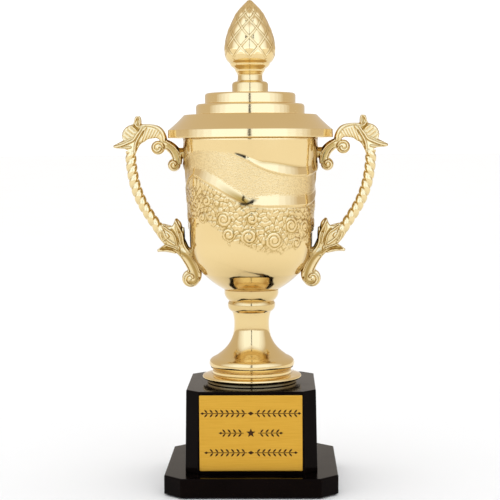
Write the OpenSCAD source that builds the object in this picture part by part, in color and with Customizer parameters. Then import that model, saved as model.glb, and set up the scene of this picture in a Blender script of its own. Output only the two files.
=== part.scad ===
// Two-handled cup trophy with a lift-off lid, on a stepped black plinth.
// Origin: centre of the underside. +Z is up, and the plaque faces -Y. Millimetres.

/* [Plinth] */
// Thickness of the felt under the base plate
felt_t = 1; // [0.5:0.1:2]
// Width of the base plate across its flats
base_w = 105; // [100:1:120]
// Thickness of the base plate
base_h = 11.3; // [11:0.1:16]
// Corner cut of the base plate
base_cut = 10.6; // [6:0.1:14]
// Width of the plinth block at its foot
block_w = 80.4; // [79.2:0.1:84]
// Width of the plinth block at its top
block_top_w = 78.8; // [76:0.1:79]
// Height of the plinth block
block_h = 50.1; // [47:0.1:60]
// Corner cut of the plinth block
block_cut = 8; // [5:0.5:9]
// Wall thickness of the plinth block
block_wall = 3; // [2:0.5:5]

/* [Plaque] */
// Width of the plaque
plaque_w = 62; // [50:1:62]
// Height of the plaque
plaque_h = 46; // [30:1:46]
// Thickness of the plaque
plaque_t = 0.8; // [0.4:0.1:1.5]

/* [Foot and stem] */
// Radius of the disc that stands on the plinth
foot_r = 31; // [30:0.5:36]
// Height of that disc
foot_h = 8; // [7:0.5:12]
// Largest radius of the bell-shaped foot
bell_r = 26.6; // [25:0.1:29]
// Radius of the stem at its waist
waist_r = 10.9; // [9.5:0.1:12]
// Height of the bell-shaped foot
bell_h = 36.2; // [30:0.1:45]
// Radius of the ring above the waist
knop_r = 14.8; // [14:0.1:18]
// Height of that ring
knop_h = 7.1; // [5:0.1:10]
// Radius of the collar under the bowl
collar_r = 16.9; // [16:0.1:18]
// Height of the collar
collar_h = 6.9; // [5:0.1:10]

/* [Bowl] */
// Height of the bowl
bowl_h = 94.4; // [93:0.1:96]
// Outer radius of the bowl at its rim
rim_r = 42; // [41:0.1:43]
// Outer radius of the bowl where its side begins
side_r = 38.4; // [37.4:0.1:39]
// Wall thickness of the bowl
bowl_wall = 1.6; // [1.2:0.1:2]
// Thickness of the bowl's floor
floor_t = 3; // [2:0.5:4]

/* [Handles] */
// Thickness of the flat handle castings
handle_t = 7; // [6:0.5:9]

/* [Lid] */
// Radius of the lid's brim
brim_r = 51.2; // [50:0.1:51.5]
// Height of the brim band
brim_h = 4.9; // [4.5:0.1:7]
// Radius at the top of the cone
cone_top_r = 41.5; // [38:0.5:43]
// Height of the cone
cone_h = 9.3; // [8:0.1:14]
// Depth of the spigot that locates the lid in the bowl
spigot_h = 3.3; // [2:0.1:4]
// Gap between the spigot and the bowl
spigot_gap = 0.25; // [0.1:0.05:0.5]
// Radius of the lower disc
lower_tier_r = 33.7; // [32:0.1:37]
// Height of the lower disc
lower_tier_h = 6.7; // [5:0.1:9]
// Radius of the upper disc
upper_tier_r = 28.1; // [24:0.1:31]
// Height of the upper disc
upper_tier_h = 6.7; // [5:0.1:9]
// Radius of the ring under the finial
ring_r = 11.2; // [10.5:0.1:14]
// Height of the ring and its neck
neck_h = 11.4; // [10.5:0.1:14]
// Radius of the neck
neck_r = 7.6; // [7:0.1:8.5]
// Largest radius of the finial
bud_r = 15.7; // [14:0.1:18]
// Height of the finial
bud_h = 46; // [40:1:55]

/* [Fasteners] */
// Diameter of the tie rod
rod_d = 6; // [5:1:6]
// Diameter of the lid's stud
stud_d = 5; // [4:1:5]
// Diameter of the handle screws
screw_d = 3; // [2.5:0.5:3]
// Length of the handle screws under the head
screw_l = 10; // [8:1:10]

/* [Hidden] */
$fn = 96;

// Colours
gold = [0.93, 0.78, 0.47];
satin_gold = [0.87, 0.66, 0.25];
black = [0.08, 0.06, 0.06];
steel = [0.72, 0.73, 0.75];
iron = [0.25, 0.25, 0.27];
felt = [0.06, 0.06, 0.07];

// Heights of the stack, from the underside up
z_base = felt_t;
z_block = z_base + base_h;
z_foot = z_block + block_h;
z_bell = z_foot + foot_h;
z_knop = z_bell + bell_h;
z_collar = z_knop + knop_h;
z_bowl = z_collar + collar_h;
z_rim = z_bowl + bowl_h;
z_lower_tier = z_rim + brim_h + cone_h;
z_upper_tier = z_lower_tier + lower_tier_h;
z_ring = z_upper_tier + upper_tier_h;
z_bud = z_ring + neck_h;

// Clearances and small thicknesses
hole_gap = 0.2;      // radial gap round a clamped rod or screw
felt_inset = 1.5;    // felt back from the base plate's edge
tape_t = 0.3;        // double-sided tape
tape_inset = 4;      // tape back from the plaque's edge
shell_t = 2;         // wall of the cored metal pieces
boss_r = 6;          // wall radius round a central hole
eps = 0.01;

// Rod, nuts and washers
rod_hole_r = rod_d / 2 + hole_gap;
rod_nut_r = rod_d * 0.96;
rod_nut_h = 5;
rod_washer_r = rod_d;
rod_washer_t = 1.6;
rod_end = 1.3;       // rod left standing past each nut
pocket_r = 9;
pocket_h = rod_end + rod_nut_h + rod_washer_t + 0.1;
z_pocket = z_base + pocket_h;
z_floor = z_bowl + floor_t;
stud_hole_r = stud_d / 2 + hole_gap;
stud_nut_r = stud_d * 0.92;
stud_nut_h = 4;
stud_washer_r = stud_d;
stud_washer_t = 1;
stud_grip = 9;       // length of stud inside the finial
screw_hole_r = screw_d / 2 + 0.1;
head_r = screw_d * 0.93;
head_h = 2;
screw_washer_r = 3.4;
screw_washer_t = 0.5;

// Ballast slab inside the plinth
ballast_w = 66;
ballast_h = 14;

// Places of the two handle screws: height from the rim, and where the seat inside the bowl faces
screw_z = [-9.3, -71.3];
seat_x = [38.2, 31.8];
seat_r = 4;

// Draft of the plinth block's faces
draft = atan((block_w - block_top_w) / 2 / block_h);

// Points of an arc about c with radius r, from angle a to angle b
function arc(c, r, a, b, n = 5) =
    [for (i = [0:n]) let (t = a + (b - a) * i / n) c + r * [cos(t), sin(t)]];

// Points of a cubic Bezier curve
function bezier(p, q, r, s, n = 8) =
    [for (i = [0:n]) let (t = i / n, u = 1 - t)
        u * u * u * p + 3 * u * u * t * q + 3 * u * t * t * r + t * t * t * s];

// Points of a smooth curve through the given points
function at(p, i) = p[max(0, min(len(p) - 1, i))];
function catmull(a, b, c, d, t) =
    0.5 * (2 * b + (c - a) * t + (2 * a - 5 * b + 4 * c - d) * t * t
        + (3 * b - a - 3 * c + d) * t * t * t);
function smooth_path(p, n = 4) = concat(
    [for (i = [0:len(p) - 2], j = [0:n - 1])
        catmull(at(p, i - 1), p[i], at(p, i + 1), at(p, i + 2), j / n)],
    [p[len(p) - 1]]);

// One edge of a ribbon whose points are [x, y, width]
function unit(v) = v / norm(v);
function edge(c, side) =
    [for (i = [0:len(c) - 1]) let (
        d = unit([at(c, i + 1)[0] - at(c, i - 1)[0], at(c, i + 1)[1] - at(c, i - 1)[1]]))
        [c[i][0] - side * d[1] * c[i][2] / 2, c[i][1] + side * d[0] * c[i][2] / 2]];
function backwards(v) = [for (i = [len(v) - 1:-1:0]) v[i]];

module ribbon(points) {
    c = smooth_path(points);
    polygon(concat(edge(c, 1), backwards(edge(c, -1))));
}

// A square with cut corners
module octagon(w, cut) {
    h = w / 2;
    polygon([
        [h - cut, -h], [h, cut - h], [h, h - cut], [h - cut, h],
        [cut - h, h], [-h, h - cut], [-h, cut - h], [cut - h, -h]
    ]);
}

module drafted_octagon(w, top_w, cut, h) {
    linear_extrude(height = h, scale = top_w / w) octagon(w, cut);
}

module hole(r, z0, z1) {
    translate([0, 0, z0 - 1]) cylinder(r = r, h = z1 - z0 + 2);
}

// A ring-shaped hollow round the central boss, open at the bottom
module core(r, h, boss = boss_r) {
    difference() {
        translate([0, 0, -1]) cylinder(r = r, h = h + 1);
        translate([0, 0, -2]) cylinder(r = boss, h = h + 3);
    }
}

// Places its children against the block's drafted front face, with -Y outwards
module on_front() {
    translate([0, -block_w / 2, z_block]) rotate([-draft, 0, 0]) children();
}

// Outer outlines: [radius, height above the piece's own foot]
function foot_outline() = concat(
    [[0, 0], [foot_r - 1, 0], [foot_r - 1, 0.5]],
    arc([foot_r - 1.1, 2.1], 1.1, -60, 70),
    [[foot_r - 5.8, 5.4], [foot_r - 6.2, 5.8], [foot_r - 6.2, foot_h - 0.6],
     [foot_r - 6.8, foot_h], [0, foot_h]]);

function bell_outline() = concat(
    [[0, 0], [bell_r - 2.6, 0]],
    bezier([bell_r - 2.6, 0.3], [bell_r - 0.6, 1.2], [bell_r + 0.1, 3], [bell_r, 4.4], 5),
    bezier([bell_r - 0.2, 5.6], [bell_r - 1, 7.4], [bell_r - 3.5, 8.1], [bell_r - 5, 9.1], 4),
    bezier([bell_r - 7.6, 11.1], [waist_r + 4.2, 14.2], [waist_r, 19.5],
        [waist_r, bell_h * 0.78], 9),
    bezier([waist_r, bell_h * 0.84], [waist_r + 0.2, bell_h * 0.9],
        [waist_r + 0.6, bell_h * 0.96], [waist_r + 1.2, bell_h], 3),
    [[0, bell_h]]);

function knop_outline() = concat(
    [[0, 0], [knop_r - 2.7, 0]],
    bezier([knop_r - 2.2, 0.4], [knop_r - 0.6, 1.4], [knop_r, 2.8],
        [knop_r, knop_h * 0.62], 6),
    bezier([knop_r, knop_h * 0.72], [knop_r - 0.2, knop_h * 0.85],
        [knop_r - 0.8, knop_h * 0.95], [knop_r - 0.9, knop_h], 4),
    [[0, knop_h]]);

function collar_outline() = concat(
    [[0, 0], [collar_r - 2.6, 0]],
    bezier([collar_r - 2.4, 0.3], [collar_r - 1.2, 1.4], [collar_r - 0.2, 3],
        [collar_r, 4.6], 6),
    [[collar_r, collar_h], [0, collar_h]]);

bowl_side = concat(
    bezier([collar_r, 0], [25.5, 5], [37.6, 13.5], [side_r, 31], 12),
    bezier([side_r + 0.2, 36], [side_r + 0.6, 54], [rim_r - 1.5, 73], [rim_r, bowl_h], 7));

function bowl_outline() = concat([[0, 0]], bowl_side, [[0, bowl_h]]);
function bowl_hollow() = concat(
    [[0, floor_t], [collar_r, floor_t]],
    [for (p = bowl_side) if (p[1] > floor_t) [p[0] - bowl_wall, p[1]]],
    [[rim_r - bowl_wall, bowl_h + 1], [0, bowl_h + 1]]);

spigot_r = rim_r - bowl_wall - spigot_gap;
seat_out_r = rim_r + 1.6;    // underside of the lid that rests on the bowl
cone_base = brim_h + 0.5;
lid_h = brim_h + cone_h;
function lid_outline() = concat(
    [[0, -spigot_h], [spigot_r - 0.4, -spigot_h], [spigot_r, 0.4 - spigot_h], [spigot_r, 0],
     [seat_out_r, 0], [seat_out_r, brim_h - 2], [brim_r - shell_t, brim_h - 2],
     [brim_r - shell_t, 0], [brim_r - 0.3, 0], [brim_r, 0.3], [brim_r, brim_h - 0.3],
     [brim_r - 0.3, brim_h]],
    bezier([brim_r - 0.8, cone_base], [brim_r - 4.2, cone_base + 2.8],
        [cone_top_r + 2.8, lid_h - 3.4], [cone_top_r + 0.1, lid_h - 0.5], 6),
    [[cone_top_r - 0.5, lid_h], [0, lid_h]]);

cone_inner_r = spigot_r - shell_t;
function lid_hollow() = [
    [0, -spigot_h - 1], [cone_inner_r, -spigot_h - 1], [cone_inner_r, lid_h - shell_t - 1.5],
    [cone_inner_r - 1.5, lid_h - shell_t], [0, lid_h - shell_t]
];

// A disc with a rounded top edge
module tier(r, h, edge_r) {
    rotate_extrude() polygon(concat(
        [[0, 0], [r - 0.4, 0], [r, 0.4]],
        arc([r - edge_r, h - edge_r], edge_r, 0, 90),
        [[0, h]]));
}

function ring_outline() = concat(
    [[0, 0], [ring_r - 0.4, 0], [ring_r - 0.1, 0.4], [ring_r, 4.6]],
    arc([ring_r - 2.2, 4.9], 2.2, 5, 80, 4),
    bezier([neck_r + 0.9, 7.2], [neck_r + 0.1, 7.5], [neck_r, 8.6], [neck_r, neck_h - 0.6], 4),
    [[neck_r + 0.2, neck_h], [0, neck_h]]);

function bud_outline() = concat(
    [[0, 0], [neck_r + 0.2, 0]],
    bezier([neck_r + 0.4, 0.7], [neck_r + 1.2, 2.8], [bud_r - 3.6, 5.6],
        [bud_r - 1.3, bud_h * 0.195], 5),
    bezier([bud_r - 0.5, bud_h * 0.23], [bud_r + 0.35, bud_h * 0.29],
        [bud_r + 0.2, bud_h * 0.42], [bud_r - 1.1, bud_h * 0.515], 7),
    bezier([bud_r - 1.8, bud_h * 0.565], [bud_r - 4.4, bud_h * 0.7],
        [bud_r * 0.56, bud_h * 0.84], [bud_r * 0.27, bud_h * 0.92], 7),
    [[bud_r * 0.16, bud_h * 0.96], [bud_r * 0.08, bud_h * 0.986], [0, bud_h]]);

// Handle outline: x out from the cup's axis, y up from the rim, then the ribbon's width
rope_line = [
    [74.4, -7.8, 7], [74.4, -14.8, 7], [73, -24.8, 7], [70.8, -32.8, 7], [67.6, -40.3, 7],
    [63.2, -47.8, 7], [59.5, -53.3, 7], [55.5, -58.8, 7.4], [52.5, -62.5, 8]
];
arch_line = [
    [54, -4.3, 4], [54.4, 0.2, 5], [58, 3.8, 8], [64, 4.2, 9.6], [69, 2.5, 11.4],
    [72.5, -1.8, 9], [74.4, -7.8, 7]
];
top_spur = [[71, 6, 6.5], [70.1, 10, 4.4], [69.4, 14.1, 1.2]];
outer_spur = [[76, -3.3, 7], [80.5, -4.2, 4.5], [85.3, -5.1, 1.6]];
upper_scroll = [
    [53.4, -2.4, 4.5], [50.5, -4.8, 6.5], [47.2, -8, 6.8], [45.6, -12.3, 6.2],
    [45.4, -16.3, 5.2]
];
leaf_line = [
    [57, -56.3, 8], [52, -59.8, 12], [47, -64.3, 12], [42.5, -69.8, 8.6], [38.8, -75.3, 8],
    [35.6, -81.3, 8.4], [34.8, -86.8, 7.2], [37, -90, 5]
];
leaf_edge = [[43.5, -71, 4], [43.2, -64, 4], [43, -59, 3.4], [42.4, -55.4, 1.6]];
leaf_tip = [[46.5, -58, 8], [46, -53.5, 5.5], [46.8, -49.9, 1.2]];
lower_spur = [[47, -68.5, 7], [53, -68.4, 5], [58.6, -70.2, 1.4]];
// Scroll curls: centre x, centre y, radius
curls = [[57.5, -5.8, 4.4], [47.6, -16.6, 4], [37.8, -87.4, 5.6]];
fan = [73, 1.7, 7.2];

module handle_outline() {
    ribbon(rope_line);
    ribbon(arch_line);
    ribbon(top_spur);
    ribbon(outer_spur);
    ribbon(upper_scroll);
    ribbon(leaf_line);
    ribbon(leaf_edge);
    ribbon(leaf_tip);
    ribbon(lower_spur);
    for (c = concat(curls, [fan])) {
        translate([c[0], c[1]]) circle(r = c[2], $fn = 40);
    }
}

module handle() {
    difference() {
        union() {
            translate([0, 0, z_rim]) rotate([90, 0, 0])
                linear_extrude(height = handle_t, center = true) handle_outline();
            for (z = screw_z) {
                translate([34, 0, z_rim + z]) rotate([0, 90, 0]) cylinder(r = 3.5, h = 10);
            }
        }
        translate([0, 0, z_bowl]) rotate_extrude() polygon(bowl_outline());
        for (i = [0, 1]) {
            translate([30, 0, z_rim + screw_z[i]]) rotate([0, 90, 0])
                cylinder(r = screw_d / 2, h = seat_x[i] - screw_washer_t + screw_l - 30);
        }
    }
}

module handle_screws() {
    for (i = [0, 1]) {
        translate([seat_x[i] - screw_washer_t, 0, z_rim + screw_z[i]]) rotate([0, 90, 0]) {
            cylinder(r = screw_d / 2, h = screw_l);
            translate([0, 0, -head_h]) cylinder(r = head_r, h = head_h);
        }
    }
}

module handle_washers() {
    for (i = [0, 1]) {
        translate([seat_x[i] - screw_washer_t, 0, z_rim + screw_z[i]]) rotate([0, 90, 0])
            difference() {
                cylinder(r = screw_washer_r, h = screw_washer_t);
                hole(screw_d / 2, 0, screw_washer_t);
            }
    }
}

module ring(r, hole_r, z, h) {
    translate([0, 0, z]) difference() {
        cylinder(r = r, h = h);
        hole(hole_r, 0, h);
    }
}

module hex_nut(r, hole_r, z, h) {
    translate([0, 0, z]) difference() {
        cylinder(r = r, h = h, $fn = 6);
        hole(hole_r, 0, h);
    }
}

module felt_pad() {
    color(felt) linear_extrude(height = felt_t)
        octagon(base_w - 2 * felt_inset, base_cut - felt_inset / 2);
}

module base_plate() {
    color(black) difference() {
        translate([0, 0, z_base]) linear_extrude(height = base_h) octagon(base_w, base_cut);
        hole(rod_hole_r, z_base, z_block);
        hole(pocket_r, z_base, z_pocket - 1);
    }
}

module plinth_block() {
    inner_w = block_w - 2 * block_wall;
    inner_h = block_h - block_wall;
    color(black) translate([0, 0, z_block]) difference() {
        drafted_octagon(block_w, block_top_w, block_cut, block_h);
        difference() {
            translate([0, 0, -eps])
                drafted_octagon(inner_w, inner_w - 1.5, block_cut - 1, inner_h + eps);
            translate([0, 0, ballast_h]) cylinder(r = boss_r, h = block_h);
        }
        hole(rod_hole_r, 0, block_h);
    }
}

module ballast() {
    color(iron) translate([0, 0, z_block]) difference() {
        linear_extrude(height = ballast_h) octagon(ballast_w, block_cut);
        hole(rod_hole_r, 0, ballast_h);
    }
}

module plaque() {
    foot = (block_h - plaque_h) * 0.52;
    color(satin_gold) on_front() translate([-plaque_w / 2, -tape_t - plaque_t, foot])
        cube([plaque_w, plaque_t, plaque_h]);
}

module plaque_tape() {
    foot = (block_h - plaque_h) * 0.52 + tape_inset;
    color("white") on_front() translate([tape_inset - plaque_w / 2, -tape_t, foot])
        cube([plaque_w - 2 * tape_inset, tape_t, plaque_h - 2 * tape_inset]);
}

module foot_flange() {
    color(gold) translate([0, 0, z_foot]) difference() {
        rotate_extrude() polygon(foot_outline());
        core(foot_r - 6 - shell_t, foot_h - shell_t - 1);
        hole(rod_hole_r, 0, foot_h);
    }
}

module stem_bell() {
    color(gold) translate([0, 0, z_bell]) difference() {
        rotate_extrude() polygon(bell_outline());
        core(bell_r - 5, 6.5);
        core(waist_r + 3, 11);
        hole(rod_hole_r, 0, bell_h);
    }
}

module stem_knop() {
    color(gold) translate([0, 0, z_knop]) difference() {
        rotate_extrude() polygon(knop_outline());
        hole(rod_hole_r, 0, knop_h);
    }
}

module bowl_collar() {
    color(gold) translate([0, 0, z_collar]) difference() {
        rotate_extrude() polygon(collar_outline());
        hole(rod_hole_r, 0, collar_h);
    }
}

module bowl() {
    color(gold) difference() {
        translate([0, 0, z_bowl]) rotate_extrude() polygon(bowl_outline());
        difference() {
            translate([0, 0, z_bowl]) rotate_extrude() polygon(bowl_hollow());
            for (side = [0, 1], i = [0, 1]) {
                mirror([side, 0, 0]) translate([seat_x[i], 0, z_rim + screw_z[i]])
                    rotate([0, 90, 0]) cylinder(r = seat_r, h = 10);
            }
        }
        for (side = [0, 1], i = [0, 1]) {
            mirror([side, 0, 0]) translate([seat_x[i] - 1, 0, z_rim + screw_z[i]])
                rotate([0, 90, 0]) cylinder(r = screw_hole_r, h = 10);
        }
        hole(rod_hole_r, z_bowl, z_floor);
    }
}

module handle_right() {
    color(gold) handle();
}

module handle_left() {
    color(gold) mirror([1, 0, 0]) handle();
}

module handle_screws_right() {
    color(steel) handle_screws();
}

module handle_screws_left() {
    color(steel) mirror([1, 0, 0]) handle_screws();
}

module handle_washers_right() {
    color(steel) handle_washers();
}

module handle_washers_left() {
    color(steel) mirror([1, 0, 0]) handle_washers();
}

rod_foot = z_pocket - rod_washer_t - rod_nut_h - rod_end;
rod_top = z_floor + rod_washer_t + rod_nut_h + rod_end;

module tie_rod() {
    color(steel) translate([0, 0, rod_foot]) cylinder(r = rod_d / 2, h = rod_top - rod_foot);
}

module base_washer() {
    color(steel) ring(rod_washer_r, rod_d / 2, z_pocket - rod_washer_t, rod_washer_t);
}

module base_nut() {
    color(steel) hex_nut(rod_nut_r, rod_d / 2, rod_foot + rod_end, rod_nut_h);
}

module bowl_washer() {
    color(steel) ring(rod_washer_r, rod_d / 2, z_floor, rod_washer_t);
}

module bowl_nut() {
    color(steel) hex_nut(rod_nut_r, rod_d / 2, z_floor + rod_washer_t, rod_nut_h);
}

module lid_brim() {
    color(gold) translate([0, 0, z_rim]) difference() {
        rotate_extrude() polygon(lid_outline());
        rotate_extrude() polygon(lid_hollow());
        hole(stud_hole_r, 0, lid_h);
    }
}

module lid_lower_tier() {
    color(gold) translate([0, 0, z_lower_tier]) difference() {
        tier(lower_tier_r, lower_tier_h, 2);
        core(lower_tier_r - 2 * shell_t, lower_tier_h - shell_t);
        hole(stud_hole_r, 0, lower_tier_h);
    }
}

module lid_upper_tier() {
    color(gold) translate([0, 0, z_upper_tier]) difference() {
        tier(upper_tier_r, upper_tier_h, 1.8);
        core(upper_tier_r - 2 * shell_t, upper_tier_h - shell_t);
        hole(stud_hole_r, 0, upper_tier_h);
    }
}

module finial_base() {
    color(gold) translate([0, 0, z_ring]) difference() {
        rotate_extrude() polygon(ring_outline());
        hole(stud_hole_r, 0, neck_h);
    }
}

module finial_bud() {
    color(gold) translate([0, 0, z_bud]) difference() {
        rotate_extrude() polygon(bud_outline());
        hole(stud_d / 2, 0, stud_grip - 1);
    }
}

z_lid_plate = z_lower_tier - shell_t;
stud_foot = z_lid_plate - stud_washer_t - stud_nut_h - 1;

module lid_stud() {
    color(steel) translate([0, 0, stud_foot])
        cylinder(r = stud_d / 2, h = z_bud + stud_grip - stud_foot);
}

module lid_washer() {
    color(steel) ring(stud_washer_r, stud_d / 2, z_lid_plate - stud_washer_t, stud_washer_t);
}

module lid_nut() {
    color(steel) hex_nut(stud_nut_r, stud_d / 2, stud_foot + 1, stud_nut_h);
}

felt_pad();
base_plate();
plinth_block();
ballast();
plaque();
plaque_tape();
foot_flange();
stem_bell();
stem_knop();
bowl_collar();
bowl();
handle_left();
handle_right();
handle_screws_left();
handle_screws_right();
handle_washers_left();
handle_washers_right();
tie_rod();
base_washer();
base_nut();
bowl_washer();
bowl_nut();
lid_brim();
lid_lower_tier();
lid_upper_tier();
finial_base();
finial_bud();
lid_stud();
lid_washer();
lid_nut();
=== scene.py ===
import math

import bpy
import numpy as np
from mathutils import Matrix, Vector


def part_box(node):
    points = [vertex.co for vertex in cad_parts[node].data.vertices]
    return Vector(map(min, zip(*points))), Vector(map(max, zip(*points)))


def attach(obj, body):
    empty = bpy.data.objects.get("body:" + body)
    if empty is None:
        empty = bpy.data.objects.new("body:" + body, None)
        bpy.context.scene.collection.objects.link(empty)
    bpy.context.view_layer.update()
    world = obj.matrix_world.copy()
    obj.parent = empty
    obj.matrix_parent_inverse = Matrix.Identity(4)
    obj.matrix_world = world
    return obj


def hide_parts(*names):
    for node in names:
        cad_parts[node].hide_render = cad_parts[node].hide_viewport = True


# Looks of a two-handled cup trophy with a lift-off lid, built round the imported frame.
# Lengths in the shape code are millimetres, measured as the part's own source measures them,
# and mesh_object() turns them into metres. Bowl relief is written as [angle, height] points:
# the angle runs round the cup from the front (-Y) towards +X, in degrees.

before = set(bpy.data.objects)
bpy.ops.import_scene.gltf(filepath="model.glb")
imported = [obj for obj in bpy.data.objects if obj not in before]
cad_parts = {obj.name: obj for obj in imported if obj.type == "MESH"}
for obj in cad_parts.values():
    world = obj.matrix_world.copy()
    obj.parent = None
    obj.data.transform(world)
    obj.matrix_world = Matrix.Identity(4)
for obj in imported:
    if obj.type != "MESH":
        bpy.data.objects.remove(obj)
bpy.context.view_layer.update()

MM = 0.001


def low(node):
    """Height of a node's underside, in millimetres."""
    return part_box(node)[0].z / MM


def high(node):
    """Height of a node's top, in millimetres."""
    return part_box(node)[1].z / MM


def half_width(node):
    """Largest x of a node, in millimetres."""
    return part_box(node)[1].x / MM


def size(node):
    """Half width and height of a node."""
    return half_width(node), high(node) - low(node)


# ---- outlines ----

def arc(centre, radius, start, end, count=8):
    """Points of a circular arc, angles in degrees."""
    t = np.radians(np.linspace(start, end, count + 1))
    return [(centre[0] + radius * math.cos(a), centre[1] + radius * math.sin(a)) for a in t]


def bezier(p, q, r, s, count=20):
    """Points of a cubic Bezier curve."""
    p, q, r, s = (np.array(v, float) for v in (p, q, r, s))
    t = np.linspace(0, 1, count + 1)[:, None]
    u = 1 - t
    return [tuple(v) for v in u**3 * p + 3 * u * u * t * q + 3 * u * t * t * r + t**3 * s]


def smooth_path(points, steps=6):
    """A Catmull-Rom curve through rows of numbers."""
    p = np.array(points, float)
    a = np.vstack([p[:1], p[:-1]])[:-1]
    b, c = p[:-1], p[1:]
    d = np.vstack([p[2:], p[-1:]])
    rows = []
    for t in np.arange(steps) / steps:
        rows.append(0.5 * (2 * b + (c - a) * t + (2 * a - 5 * b + 4 * c - d) * t * t
                           + (3 * b - a - 3 * c + d) * t**3))
    return np.vstack([np.stack(rows, 1).reshape(-1, p.shape[1]), p[-1:]])


def rounding(before, here, after, count):
    """Points of a curve from before to after that turns at here."""
    return [(1 - t)**2 * before + 2 * t * (1 - t) * here + t * t * after
            for t in np.linspace(0, 1, count)]


CORNER_R = 0.3     # radius of a softened corner
HOLD = 0.3         # how far past it the flat beside it is held


def soften(outline):
    """Rounds the corners of a closed outline, and holds the flats beside them flat."""
    p = np.array(outline, float)
    keep = np.ones(len(p), bool)
    keep[1:] = np.linalg.norm(np.diff(p, axis=0), axis=1) > 1e-6
    p = p[keep]
    out = []
    for before, here, after in zip(np.roll(p, 1, 0), p, np.roll(p, -1, 0)):
        u, v = before - here, after - here
        lu, lv = np.linalg.norm(u), np.linalg.norm(v)
        u, v = u / lu, v / lv
        turn = math.pi - math.acos(max(-1, min(1, float(u @ v))))
        if turn < math.radians(18):
            out.append(here)
            continue
        cut = min(CORNER_R * math.tan(turn / 2), 0.4 * lu, 0.4 * lv)
        hold = cut + HOLD
        if lu > 3 * hold:
            out.append(here + u * hold)
        out += rounding(here + u * cut, here, here + v * cut, 6)
        if lv > 3 * hold:
            out.append(here + v * hold)
    return np.array(out)


def hump(x, width, power=2):
    """1 at 0, fading away past a width on both sides."""
    return np.exp(-(x / width)**power)


def ease(x):
    """0 below 0, 1 above 1, and a smooth rise between."""
    x = np.clip(x, 0, 1)
    return x * x * (3 - 2 * x)


# ---- meshes ----

def mesh_object(name, points, faces, smooth=True):
    """An object from millimetre points and faces."""
    mesh = bpy.data.meshes.new(name)
    mesh.from_pydata((np.asarray(points, float) * MM).tolist(), [], faces)
    mesh.validate()
    mesh.polygons.foreach_set("use_smooth", [smooth] * len(mesh.polygons))
    obj = bpy.data.objects.new(name, mesh)
    bpy.context.scene.collection.objects.link(obj)
    return obj


def grid_faces(rows, cols, wrap_rows=False, wrap_cols=False):
    """Quads of a grid of points stored row by row."""
    i, j = np.meshgrid(np.arange(rows if wrap_rows else rows - 1),
                       np.arange(cols if wrap_cols else cols - 1), indexing="ij")
    i2, j2 = (i + 1) % rows, (j + 1) % cols
    quads = np.stack([i * cols + j, i * cols + j2, i2 * cols + j2, i2 * cols + j], -1)
    return quads.reshape(-1, 4).tolist()


def loft(rings):
    """Points and faces of a solid through rings of points, with flat ends."""
    n, m = len(rings), len(rings[0])
    faces = grid_faces(n, m, wrap_cols=True)
    faces.append(list(range(m))[::-1])
    faces.append(list(range((n - 1) * m, n * m)))
    return np.vstack(rings), faces


def sweep(rings, ends=None):
    """Points and faces of a tube through rings of points, closed at its two end points."""
    rings = np.array(rings)
    n, m = rings.shape[:2]
    if ends is None:
        ends = np.array([rings[0].mean(0), rings[-1].mean(0)])
    faces = grid_faces(n, m, wrap_cols=True)
    for j in range(m):
        k = (j + 1) % m
        faces.append([k, j, n * m])
        faces.append([(n - 1) * m + j, (n - 1) * m + k, n * m + 1])
    return np.vstack([rings.reshape(-1, 3), ends]), faces


def join(parts):
    """One set of points and faces from several."""
    points, faces, start = [], [], 0
    for p, f in parts:
        points.append(p)
        faces.extend([[i + start for i in face] for face in f])
        start += len(p)
    return np.vstack(points), faces


def turned_points(outline, segments, bump=None):
    """Points of an outline turned about Z; bump(angle, radius, height) is added to the radius."""
    outline = np.asarray(outline, float)
    angle = np.arange(segments) * 2 * math.pi / segments
    r = np.repeat(outline[:, :1], segments, 1)
    z = np.repeat(outline[:, 1:2], segments, 1)
    a = np.repeat(angle[None, :], len(outline), 0)
    if bump is not None:
        r = r + bump(a, r, z)
    return np.stack([r * np.sin(a), -r * np.cos(a), z], -1)


TURNED_SEGMENTS = 256


def turned(name, outline, z=0.0, even_shade=0.0):
    """A closed outline of [radius, height] turned about the axis, with an even painted shade over it
    if wanted.
    """
    line = soften(outline)
    points = turned_points(line, TURNED_SEGMENTS)
    points[..., 2] += z
    faces = grid_faces(len(line), TURNED_SEGMENTS, wrap_rows=True, wrap_cols=True)
    obj = mesh_object(name, points.reshape(-1, 3), faces)
    mark_hollows(obj, 0.3, 1.6, even_shade)
    return obj


def rounded_octagon(width, cut, radius):
    """A square with cut corners whose arrises are rounded, as points in XY."""
    h = width / 2
    corners = np.array([(h - cut, -h), (h, cut - h), (h, h - cut), (h - cut, h),
                        (cut - h, h), (-h, h - cut), (-h, cut - h), (cut - h, -h)])
    back = radius * math.tan(math.radians(22.5))
    out = []
    for before, here, after in zip(np.roll(corners, 1, 0), corners, np.roll(corners, -1, 0)):
        u, v = before - here, after - here
        u, v = u / np.linalg.norm(u), v / np.linalg.norm(v)
        out.append(here + u * (back + 0.4))
        out += rounding(here + u * back, here, here + v * back, 5)
        out.append(here + v * (back + 0.4))
    return np.array(out)


def octagon_loft(name, levels, radius):
    """A solid through rounded octagons; levels are [width, cut, z] from the bottom up."""
    flat = [(rounded_octagon(width, cut, radius), z) for width, cut, z in levels]
    return mesh_object(name, *loft([np.column_stack([p, np.full(len(p), z)]) for p, z in flat]))


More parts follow.
